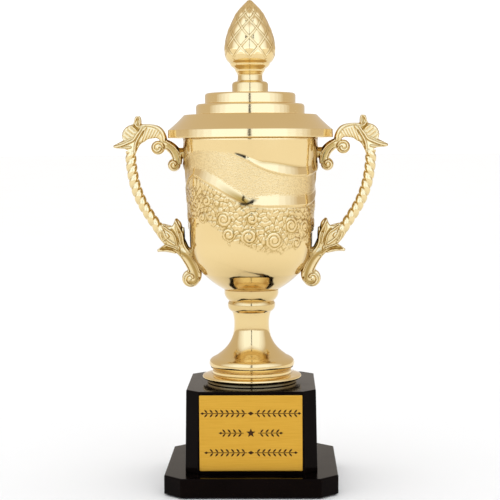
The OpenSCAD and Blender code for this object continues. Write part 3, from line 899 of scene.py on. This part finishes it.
def bowl():
    z0, z1 = low("bowl"), high("bowl")
    outside_z = np.concatenate([np.linspace(z0, 129.5, 12), np.linspace(130, 209, 150),
                                np.linspace(210, z1 - 0.5, 5)])
    outside = np.column_stack([bowl_radius(outside_z), outside_z])
    lip = [(RIM_R - 0.1, z1 - 0.15), (RIM_R - 0.35, z1), (RIM_R - RIM_WALL + 0.3, z1),
           (RIM_R - RIM_WALL, z1 - 0.3)]
    near_seats = [z + dz for z, _ in SEATS for dz in (5.4, 4.4, 4, 2, 0, -2, -4, -4.4, -5.4)]
    inside_z = np.concatenate([[z1 - 1], near_seats[:9], [180, 160], near_seats[9:],
                               np.linspace(z0 + 14, z0 + 4, 4)])
    inside = np.column_stack([bowl_radius(inside_z) - RIM_WALL, inside_z])
    top = z0 + FLOOR_T
    bottom = [(18.5, top + 0.2), (16.9, top), (ROD_HOLE, top), (ROD_HOLE, z0)]
    outline = np.vstack([outside, lip, inside, bottom])
    rows = len(outside)
    marks = np.zeros((3, len(outline), BOWL_SEGMENTS))    # stipple, painted shade, painted gap shade

    def bump(angle, radius, height):
        raised, *shares = bowl_relief(angle, height)
        raised[rows:] = 0
        marks[:, :rows] = np.array(shares)[:, :rows]
        return raised * ease((height - RELIEF_FOOT) / 5) * ease((RELIEF_TOP - height) / 2)

    points = seat_faces(turned_points(outline, BOWL_SEGMENTS, bump)).reshape(-1, 3)
    faces = grid_faces(len(outline), BOWL_SEGMENTS, wrap_rows=True, wrap_cols=True)
    obj = mesh_object("bowl_embossed", points, faces)
    stipple, shade, gap_shade = marks.reshape(3, -1)
    layer = obj.data.attributes.new("stipple", "FLOAT", "POINT")
    layer.data.foreach_set("value", stipple)
    mark_hollows(obj, 0.25, 1.4, shade, gap_shade)
    place(obj, "cup", "gold", gold_bowl, "bowl")


# ---- handles ----

HANDLE_T = 7.0
CAST_HALF = 2.5        # half thickness of the plain casting, under its raised rims
VOXEL = 0.3            # grain of the skin drawn over the casting
SMOOTH_ROUNDS = 3
# Ribbons: x out from the axis, z up from the rim, width
ROPE = [(74.4, -7.8, 7), (74.4, -14.8, 7), (73, -24.8, 7), (70.8, -32.8, 7), (67.6, -40.3, 7),
        (63.2, -47.8, 7), (59.5, -53.3, 7), (55.5, -58.8, 7.4), (52.5, -62.5, 8)]
ARCH = [(54, -4.3, 4), (54.4, 0.2, 5), (58, 3.8, 8), (64, 4.2, 9.6), (69, 2.5, 11.4),
        (72.5, -1.8, 9), (74.4, -7.8, 7)]
TOP_SPUR = [(71, 6, 6.5), (70, 9.8, 4.8), (69.9, 12.4, 4), (70, 13.8, 2.6)]
OUTER_SPUR = [(76, -3.3, 7), (80.5, -4.2, 4.5), (85.3, -5.1, 1.6)]
UPPER_SCROLL = [(53.4, -2.4, 4.5), (50.5, -4.8, 6.5), (47.2, -8, 6.8), (45.6, -12.3, 6.2),
                (45.4, -16.3, 5.2)]
LEAF = [(57, -56.3, 8), (52, -59.8, 12), (47, -64.3, 12), (42.5, -69.8, 8.6), (38.8, -75.3, 8),
        (35.6, -81.3, 8.4), (34.8, -86.8, 7.2), (37, -90, 5)]
LEAF_EDGE = [(43.5, -71, 4), (43.2, -64, 4), (43, -59, 3.4), (42.4, -55.4, 1.6)]
LEAF_TIP = [(46.5, -58, 8), (46, -53.5, 5.5), (46.8, -49.9, 1.2)]
LOWER_SPUR = [(47, -68.5, 7), (53, -68.4, 5), (58.6, -70.2, 1.4)]
CURLS = [(57.5, -5.8, 4.4), (47.6, -16.6, 4), (37.8, -87.4, 5.6)]      # x, z, radius
CURL_TURNS = [(170, -330), (180, 330), (180, 330)]      # start and turn of each, in degrees
FAN = (73, 1.7, 7.2)
# Evenly spaced lines: the first, the last, how many
FAN_RIBS = ((69.6, 7, 72.6, 9.6), (76.2, -2.6, 80.4, 0.6), 6)
VEINS = ((56, 4.4, 59.4, -0.6), (66.4, 7, 69.4, -2.4), 7)
SCREW_Z = (-9.3, -71.3)
# Raised lines: points, half width, height
RIDGES = [
    ([(53.2, -1.5), (54, 2.4), (56.5, 5.8), (60.5, 7.9), (65, 8.4), (68.5, 7)], 0.8, 0.7),
    ([(64.9, 6.8), (67.2, 4), (68.8, 1.5), (70.4, -1.2), (71.4, -4), (71.8, -9)], 0.6, 0.75),
    ([(67.6, 6.3), (68.8, 4.4), (70.7, 2), (72.6, -0.9), (76.4, -2.8), (80, -4.2),
      (84.4, -5.2)], 0.65, 1.0),
    ([(74.8, -0.6), (78, -2.2), (81.5, -3.2)], 0.5, 0.6),
    ([(74.6, -5.4), (78.4, -5.9), (82, -6)], 0.5, 0.6),
    ([(68.8, 8), (68.2, 10.8), (69, 13.6), (70.4, 13.2), (71.8, 10.4), (72.6, 8)], 0.55, 0.8),
    ([(52, -2), (49.6, -3.4), (46.2, -6.2), (44, -9.6), (43.2, -13), (43.4, -16.8)], 0.65, 1.0),
    ([(54, -6.6), (51.6, -7.4), (49.6, -9.8), (48.4, -12.8)], 0.65, 1.0),
    ([(47, -51.2), (45.1, -55.2), (43.3, -58.6), (42.6, -61.9), (41.6, -66.7), (38.4, -71.6)],
     0.65, 1.0),
    ([(47.2, -51.6), (48.6, -53), (50, -54.2), (52.6, -54.4)], 0.5, 0.8),
    ([(54.4, -55), (51, -57.4), (48.9, -58.6), (47.4, -60.9), (46.5, -64.4), (44.8, -69)],
     0.55, 0.8),
    ([(46.6, -54.4), (46, -57.4), (44.8, -61.6), (44, -65.4)], 0.5, 0.5),
    ([(54.6, -58), (53.4, -61.4), (50.8, -64), (47.6, -66)], 0.6, 0.7),
    ([(56.6, -59.4), (55.6, -62.6), (53.6, -65.2)], 0.6, 0.6),
    ([(54.2, -66), (56.4, -67.6), (57.9, -69.8), (53.3, -69.8), (48.9, -70.6), (44.6, -73.9),
      (41.2, -78.6), (39, -83)], 0.6, 1.05),
    ([(44, -71.4), (46.8, -68.8), (52.8, -66.6), (54.2, -66)], 0.5, 0.8),
    ([(36.8, -74), (34, -78.6), (32.2, -83)], 0.6, 1.0),
]
# Sunk lines and pits: points, half width, depth
GROOVES = [
    ([(69.6, 5), (72.4, 8.2)], 0.55, 0.8),
    ([(66.2, 4.4), (67.8, 1.6), (69.4, -1.6), (70.4, -4.6)], 0.45, 0.5),
    ([(49.6, -56.6), (47.6, -59.4), (46.2, -62.6), (45.4, -67)], 0.45, 0.7),
    ([(52.4, -68.2), (55.6, -68.8)], 0.7, 0.7),
    ([(48.6, -69), (51.8, -68.2)], 0.5, 0.5),
    ([(70.1, 8.4), (69.9, 11.6)], 0.5, 0.5),
]
# Channels between the rims that get painted shade: points, half width
CHANNELS = [
    ([(45.4, -69.7), (41.5, -72.3), (38.3, -75.7), (36, -80), (34.5, -83.9), (34, -88.2),
      (36, -90.2), (38.6, -89.8)], 1.3),
    ([(51, -4.4), (47.8, -7.4), (45.8, -11.6), (45.2, -15.6), (46.6, -18.6)], 1.3),
    ([(48, -69.4), (52, -68.2), (54.8, -69.2)], 1.0),
]


def line_distance(x, z, points):
    """Distance to a smooth line through points."""
    path = smooth_path(points, 4)
    best = np.full(x.shape, 99.0)
    for p, q in zip(path[:-1], path[1:]):
        best = np.minimum(best, from_segment(x - p[0], z - p[1], *(q - p)))
    return best


def spiral(centre, radius, inner, start, sweep):
    """Points of a spiral from its outer end in; angles in degrees."""
    t = np.linspace(0, 1, 26)
    a = np.radians(start + sweep * t)
    r = radius + (inner - radius) * t
    return [(centre[0] + k * math.cos(b), centre[1] + k * math.sin(b)) for k, b in zip(r, a)]


def stripes(first, last, count):
    """Evenly spaced lines from one [x0, z0, x1, z1] to another."""
    rows = np.linspace(first, last, count)
    return [[(r[0], r[1]), (r[2], r[3])] for r in rows]


def along(points):
    """Centres, sideways directions and widths of a ribbon."""
    path = smooth_path(points, 6)
    d = np.gradient(path[:, :2], axis=0)
    d /= np.linalg.norm(d, axis=1)[:, None]
    return path[:, :2], np.column_stack([-d[:, 1], d[:, 0]]), path[:, 2]


def ribbon(points, half=CAST_HALF):
    """A flat casting with rounded edges."""
    centre, side, width = along(points)
    t = np.linspace(0, 2 * math.pi, 28, endpoint=False)
    u = np.sign(np.cos(t)) * np.abs(np.cos(t))**0.7
    v = np.sign(np.sin(t)) * np.abs(np.sin(t))**0.45
    rings = []
    for c, n, w in zip(centre, side, width):
        thick = min(half, 0.9 + w * 0.35)
        rings.append(np.column_stack([c[0] + n[0] * u * w / 2, v * thick,
                                      c[1] + n[1] * u * w / 2]))
    return sweep(rings)


ROPE_PITCH = 10.4       # length of one whole turn of a strand
ROPE_GROOVE = 0.6


def rope(points):
    """Two strands laid together, as one lobed tube."""
    path = smooth_path(points, 24)
    d = np.gradient(path[:, :2], axis=0)
    step = np.linalg.norm(d, axis=1)
    d /= step[:, None]
    run = np.cumsum(step) - step[0]
    t = np.linspace(0, 2 * math.pi, 48, endpoint=False)
    rings = []
    for (x, z, w), (dx, dz), s in zip(path, d, run):
        phase = t - s / ROPE_PITCH * 2 * math.pi
        r = w / 2 - ROPE_GROOVE * np.abs(np.sin(phase))**8 - 0.15 * np.abs(np.sin(phase))
        rings.append(np.column_stack([x - dz * np.cos(t) * r, np.sin(t) * r,
                                      z + dx * np.cos(t) * r]))
    return sweep(rings)


def disc(x, z, radius, half=CAST_HALF, teeth=0.0):
    """A round boss whose axis is Y, with rounded teeth if wanted."""
    t = np.linspace(0, 2 * math.pi, 48, endpoint=False)
    rings = []
    for a in np.radians(np.linspace(-85, 85, 15)):
        r = radius - 1.2 * (1 - math.cos(a)) - teeth * np.abs(np.sin(11 * t))
        rings.append(np.column_stack([x + r * np.cos(t), np.full(48, half * math.sin(a)),
                                      z + r * np.sin(t)]))
    return sweep(rings)


def screw_boss(z):
    t = np.linspace(0, 2 * math.pi, 32, endpoint=False)
    rings = [np.column_stack([np.full(32, x), 3.4 * np.cos(t), z + 3.4 * np.sin(t)])
             for x in np.linspace(33, 44, 5)]
    return sweep(rings)


def handle_relief(x, z):
    """How far the ornament stands over the plain casting, and how much painted shade it gets."""
    out = np.zeros(x.shape)
    marks = np.zeros(x.shape)
    for points, width, height in RIDGES:
        far = line_distance(x, z, points)
        out = np.maximum(out, height * hump(far, width, 4))
        marks = np.maximum(marks, 0.75 * hump(far - 1.35 * width, 0.35))
    for (cx, cz, r), (start, turn) in zip(CURLS, CURL_TURNS):
        far = line_distance(x, z, spiral((cx, cz), r - 0.75, 1.7, start, turn))
        out = np.maximum(out, hump(far, 0.62, 4))
        marks = np.maximum(marks, 0.75 * hump(far - 0.9, 0.35))
        out = np.maximum(out, 0.9 * hump(np.hypot(x - cx, z - cz), 1.1))
    for lines, width, height in ((FAN_RIBS, 0.55, 0.75), (VEINS, 0.5, 0.5)):
        for line in stripes(*lines):
            out = np.maximum(out, height * hump(line_distance(x, z, line), width))
    marks = marks * ease((1.2 - out) / 0.6)
    for points, width, depth in GROOVES:
        dip = hump(line_distance(x, z, points), width)
        out = out - depth * dip
        marks = np.maximum(marks, dip)
    for points, width in CHANNELS:
        marks = np.maximum(marks, 0.85 * hump(line_distance(x, z, points), width, 4))
    return out, marks


def skinned(parts):
    """Points, normals and faces of one closed skin round overlapping solids."""
    rough = mesh_object("rough", *join(parts))
    skin = rough.modifiers.new("skin", "REMESH")
    skin.mode = "VOXEL"
    skin.voxel_size = VOXEL * MM
    soft = rough.modifiers.new("soft", "SMOOTH")
    soft.factor = 0.5
    soft.iterations = SMOOTH_ROUNDS
    depsgraph = bpy.context.evaluated_depsgraph_get()
    mesh = bpy.data.meshes.new_from_object(rough.evaluated_get(depsgraph))
    points = np.zeros(len(mesh.vertices) * 3)
    mesh.vertices.foreach_get("co", points)
    normals = np.zeros(len(mesh.vertices) * 3)
    mesh.vertex_normals.foreach_get("vector", normals)
    faces = [list(p.vertices) for p in mesh.polygons]
    bpy.data.objects.remove(rough)
    return points.reshape(-1, 3) / MM, normals.reshape(-1, 3), faces


def handles():
    """Both handles, from one casting with its ornament raised on both faces."""
    flat = [ARCH, TOP_SPUR, OUTER_SPUR, UPPER_SCROLL, LEAF, LEAF_EDGE, LEAF_TIP, LOWER_SPUR]
    parts = [ribbon(p) for p in flat] + [rope(ROPE)]
    parts += [disc(*c) for c in CURLS] + [disc(*FAN, teeth=0.5)] + [screw_boss(z) for z in SCREW_Z]
    points, normals, faces = skinned(parts)
    raise_by, marks = handle_relief(points[:, 0], points[:, 2])
    facing = ease((np.abs(normals[:, 1]) - 0.35) / 0.4) * np.sign(normals[:, 1])
    rope_clear = ease((line_distance(points[:, 0], points[:, 2],
                                     [p[:2] for p in ROPE[1:7]]) - 2.4) / 1.2)
    points[:, 1] += raise_by * facing * rope_clear
    # painted shade on the casting's side walls
    marks = np.maximum(marks * np.abs(facing) * rope_clear,
                       0.35 * (1 - np.abs(facing)) * rope_clear)
    points[:, 1] = np.clip(points[:, 1], -HANDLE_T / 2, HANDLE_T / 2)
    points[:, 2] += high("bowl")
    # Where the casting meets the bowl it takes the bowl's own shape
    inside = points[:, 2] < high("bowl")
    reach = np.hypot(points[:, 0], points[:, 1])
    seat = np.where(inside, bowl_radius(points[:, 2]) - 0.2, 0)
    push = np.maximum(1, seat / reach)
    points[:, :2] *= push[:, None]
    x, z = points[:, 0], points[:, 2] - high("bowl")
    # painted black shade where the casting faces the bowl across the gap, and painted shade at its
    # roots
    gap = ease((46 - x) / 1.5) * ease(-normals[:, 0] * 3 - 0.6)
    gap *= ease((-53 - z) / 3) * ease((z + 76) / 3)
    root = 0.7 * ease((46 - x) / 2) * ease((z + 30) / 6)
    root = np.maximum(root, 0.7 * ease((40 - x) / 2) * ease((-50 - z) / 6) * ease((z + 80) / 5))
    marks = np.maximum(marks, root)
    for side, flip in (("right", 1), ("left", -1)):
        obj = mesh_object(f"handle_{side}_cast", points * (flip, 1, 1), [f[::flip] for f in faces])
        mark_hollows(obj, 0.25, 1.4, marks, gap)
        place(obj, "cup", "gold", gold_cast_lit, f"handle_{side}")


# ---- plinth and plaque ----

BASE_CUT = 10.6
BLOCK_TOP_W = 78.8
BLOCK_CUTS = (8, 7.85)     # corner cuts of the block at its foot and top
BLOCK_H = 50.1
FELT_CUT = 9.85
PLAQUE_T = 0.8


def plinth():
    for name, node, top_width, cuts, edge in (
            ("base_gloss", "base_plate", 2 * half_width("base_plate"), (BASE_CUT, BASE_CUT), 0.7),
            ("plinth_gloss", "plinth_block", BLOCK_TOP_W, BLOCK_CUTS, 0.6)):
        levels = edge_levels(2 * half_width(node), cuts[0], low(node), top_width, cuts[1],
                             high(node), 0.3, edge)
        place(octagon_loft(name, levels, 0.8), "cup", "plinth_black", black_gloss, node)


def felt_pad():
    z0, z1, width = low("felt_pad"), high("felt_pad"), 2 * half_width("felt_pad")
    levels = [[width - in_by, FELT_CUT - less, z] for in_by, less, z in (
        (2, 0.35, z0), (0.6, 0.05, z0 + 0.05), (0.1, 0, z0 + 0.3), (0, 0, z0 + 0.5),
        (0.1, 0, z1 - 0.2), (0.5, 0.05, z1))]
    pad = place(octagon_loft("felt_cut", levels, 0.6), "cup", "felt", felt, "felt_pad")


def on_plaque(x, y, out):
    """Point on the drafted front: x to the right, y up from the plaque's centre, out from it."""
    lo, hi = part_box("plaque")
    draft = math.atan2(half_width("plinth_block") - BLOCK_TOP_W / 2, BLOCK_H)
    middle = (lo.z + hi.z) / 2 / MM
    front = lo.y / MM + math.tan(draft) * (middle - lo.z / MM)
    return (x, front + math.tan(draft) * y - out, middle + y * math.cos(draft))


def rounded_box(width, height, radius, steps=5):
    """Outline of a rectangle with round corners, from its centre."""
    w, h = width / 2 - radius, height / 2 - radius
    out = []
    for cx, cy, a in ((w, -h, -90), (w, h, 0), (-w, h, 90), (-w, -h, 180)):
        out += arc((cx, cy), radius, a, a + 90, steps)
    return out


def plate(outlines):
    """Closed solid through outlines of [x, y], each with its height over the plaque's face."""
    return loft([np.array([on_plaque(x, y, out) for x, y in line]) for line, out in outlines])


def slab(outline, rise=0.12):
    """A thin printed shape standing a little over the plaque."""
    return plate([(outline, -0.1), (outline, rise)])


def shape(points, x=0.0, y=0.0, scale=1.0, turn=0.0, flip=1):
    """An outline scaled, turned, mirrored in x if flip is -1, and moved to (x, y)."""
    a = math.radians(turn)
    return [(x + flip * scale * (px * math.cos(a) - py * math.sin(a)),
             y + scale * (px * math.sin(a) + py * math.cos(a))) for px, py in points][::flip]


LOZENGE = [(-1, 0), (0, -0.6), (1, 0), (0, 0.6)]
LEAFLET = arc((0, -1.1), 1.5, 43, 137, 6) + arc((0, 1.1), 1.5, -137, -43, 6)[1:-1]


def plaque():
    lo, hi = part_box("plaque")
    width, height = (hi.x - lo.x) / MM, (hi.z - lo.z) / MM
    edge = 0.22
    rings = [(rounded_box(width - 0.1, height - 0.1, 0.5), -PLAQUE_T),
             (rounded_box(width, height, 0.55), 0.1 - PLAQUE_T),
             (rounded_box(width, height, 0.55), -edge)]
    for t in (30, 60, 90):
        a = math.radians(t)
        cut = edge * (1 - math.cos(a)) * 2
        rings.append((rounded_box(width - cut, height - cut, 0.55), edge * math.sin(a) - edge))
    rings.append((rounded_box(width - 1.2, height - 1.2, 0.4), 0))
    obj = mesh_object("plaque_plate", *plate(rings))
    place(obj, "cup", "plaque_gold", plaque_gold, "plaque")


RULES = [(12.1, 2.4, 28.2), (-11.7, 2.4, 26.0), (0.2, 4.4, 17.2)]     # y, inner and outer x
LEAF_STEP = 3.2


def garland(y, inner, outer):
    """Slabs of a printed garland on both sides of the middle."""
    parts = []
    for flip in (1, -1):
        stem = [(inner, y - 0.2), (outer, y - 0.2), (outer, y + 0.2), (inner, y + 0.2)]
        parts.append(slab([(x * flip, z) for x, z in stem][::flip]))
        for k in range(round((outer - inner) / LEAF_STEP)):
            x = inner + (k + 0.5) * LEAF_STEP
            for lean in (-48, 48):
                at = (x + 0.6, y + math.copysign(1.25, lean))
                parts.append(slab(shape(LEAFLET, at[0] * flip, at[1], 1.3, lean * flip)))
        parts.append(slab(shape(LOZENGE, (outer + 0.9) * flip, y, 1.3)))
    return parts


def ornament():
    """Generic printed ornament: three leafy rules, with lozenges and a star in the middle."""
    parts = [piece for rule in RULES for piece in garland(*rule)]
    parts += [slab(shape(LOZENGE, 0, y, 1.9)) for y, _, _ in RULES[:2]]
    star = [(r * math.sin(i * math.pi / 5), RULES[2][0] + r * math.cos(i * math.pi / 5))
            for i, r in enumerate((2.9, 1.25) * 5)]
    parts.append(slab(star[::-1]))
    obj = mesh_object("plaque_ornament", *join(parts), smooth=False)
    place(obj, "cup", "plinth_black", print_dark)


def carried_over():
    """Finishes for the CAD nodes that stay as they are."""
    for material, nodes in (
            (steel, ("tie_rod", "base_washer", "base_nut", "bowl_washer", "bowl_nut", "lid_stud",
                     "lid_washer", "lid_nut", "handle_screws_left", "handle_screws_right",
                     "handle_washers_left", "handle_washers_right")),
            (iron, ("ballast",)), (tape, ("plaque_tape",))):
        for node in nodes:
            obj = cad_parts[node]
            obj.data.materials.clear()
            obj.data.materials.append(material)


# ---- stage ----

def plain_material(name, colour, roughness):
    m = Shader(name, colour, 0.0, roughness)
    m.tint(m.span(m.noise(6, 3), 0, 1), tuple(c * 0.985 for c in colour), colour)
    return m.material


FLOOR_RADII = [300, 600, 1200, 2400, 6000, 16000, 60000]


def floor():
    """A pale round floor, wide enough to meet the horizon."""
    count = 96
    points = turned_points([(r, 0) for r in FLOOR_RADII], count).reshape(-1, 3)
    faces = grid_faces(len(FLOOR_RADII), count, wrap_cols=True)
    faces += [[(j + 1) % count, j, len(points)] for j in range(count)]
    obj = mesh_object("floor", np.vstack([points, [(0, 0, 0)]]), faces)
    obj.data.materials.append(plain_material("floor_white", (0.93, 0.93, 0.93), 0.8))


def lamp(name, centre, aim, width, height, radiance):
    """A rectangular softbox facing a point; radiance is its brightness as red, green, blue."""
    light = bpy.data.lights.new(name, "AREA")
    light.shape = "RECTANGLE"
    light.size, light.size_y = width, height
    light.energy = math.pi * width * height * max(radiance)
    light.color = [c / max(radiance) for c in radiance]
    obj = bpy.data.objects.new(name, light)
    obj.location = centre
    obj.rotation_euler = (Vector(aim) - Vector(centre)).to_track_quat("-Z", "Y").to_euler()
    obj.visible_camera = False
    obj.visible_diffuse = False
    bpy.context.scene.collection.objects.link(obj)


STAND_Y = -1050


def dark_card():
    """A narrow dark stand with a wider head, which the polished metal mirrors between the lights."""
    half, foot, neck, top, head = 42, 170, 1380, 1540, 80
    side = [(half, foot), (half, neck), (head, neck), (head, top)]
    outline = side + [(-x, z) for x, z in side[::-1]]
    points = [(x, STAND_Y, z) for x, z in outline]
    obj = mesh_object("dark_stand", points, [list(range(len(points)))], smooth=False)
    obj.data.materials.append(plain_material("stand_brown", (0.03, 0.022, 0.016), 0.9))
    obj.visible_camera = False


SOFTBOX = (0.55, 0.82, 1.4)     # brightness of a softbox over the room behind it
ROOM = (0.69, 0.62, 0.55)       # what the metal mirrors elsewhere
WHITE = 1.14                    # backdrop, and the light that reaches the floor
SOFT_EDGES = 5                  # layers of a softbox, each smaller than the one before


def studio_world():
    """White to the camera and the floor, and a dimmer warm room to the metal that mirrors it."""
    world = bpy.data.worlds.new("studio")
    world.use_nodes = True
    nodes, links = world.node_tree.nodes, world.node_tree.links
    room = nodes["Background"]
    room.inputs["Color"].default_value = (*ROOM, 1)
    white = nodes.new("ShaderNodeBackground")
    white.inputs["Color"].default_value = (1, 1, 1, 1)
    white.inputs["Strength"].default_value = WHITE
    mix = nodes.new("ShaderNodeMixShader")
    links.new(nodes.new("ShaderNodeLightPath").outputs["Is Glossy Ray"], mix.inputs[0])
    links.new(white.outputs[0], mix.inputs[1])
    links.new(room.outputs[0], mix.inputs[2])
    links.new(mix.outputs[0], nodes["World Output"].inputs["Surface"])
    bpy.context.scene.world = world


def softboxes():
    """A wall of light on each side of the camera, built up in layers so that its edges fade."""
    inner = Vector((0.04, -1.1, 0))
    run = Vector((1.0, 0.83, 0)).normalized()
    share = [c / SOFT_EDGES for c in SOFTBOX]
    for side in (-1, 1):
        for k in range(SOFT_EDGES):
            width, height = 1.75 - 0.22 * k, 2.6 - 0.3 * k
            centre = inner + run * width / 2
            centre = Vector((side * centre.x, centre.y - 0.004 * k, 0.17 + height / 2))
            aim = centre + Vector((-side * run.y, run.x, 0))
            lamp("softbox_front", centre, aim, width, height, share)
    for k in range(SOFT_EDGES):
        lamp("softbox_back", (0, 1.2 + 0.004 * k, 1.0), (0, 0, 0.3), 0.6 - 0.08 * k,
             0.9 - 0.12 * k, [c / 2 for c in share])


def stage():
    floor()
    dark_card()
    softboxes()
    studio_world()
    bpy.context.scene.view_settings.view_transform = "Standard"


LENS = 101.56                                   # for a 36 mm sensor
CAMERA_AT = (0.01962, -0.8787, 0.207675)
CAMERA_TURN = (85.927, 0.38, 1.3)               # pitch from straight down, roll, heading


def camera():
    data = bpy.data.cameras.new("camera")
    data.sensor_width = 36
    data.lens = LENS
    obj = bpy.data.objects.new("camera", data)
    obj.location = CAMERA_AT
    obj.rotation_mode = "XYZ"
    obj.rotation_euler = [math.radians(turn) for turn in CAMERA_TURN]
    bpy.context.scene.collection.objects.link(obj)
    bpy.context.scene.camera = obj


camera()
turned_pieces()
finial()
bowl()
handles()
plinth()
felt_pad()
plaque()
ornament()
carried_over()
stage()
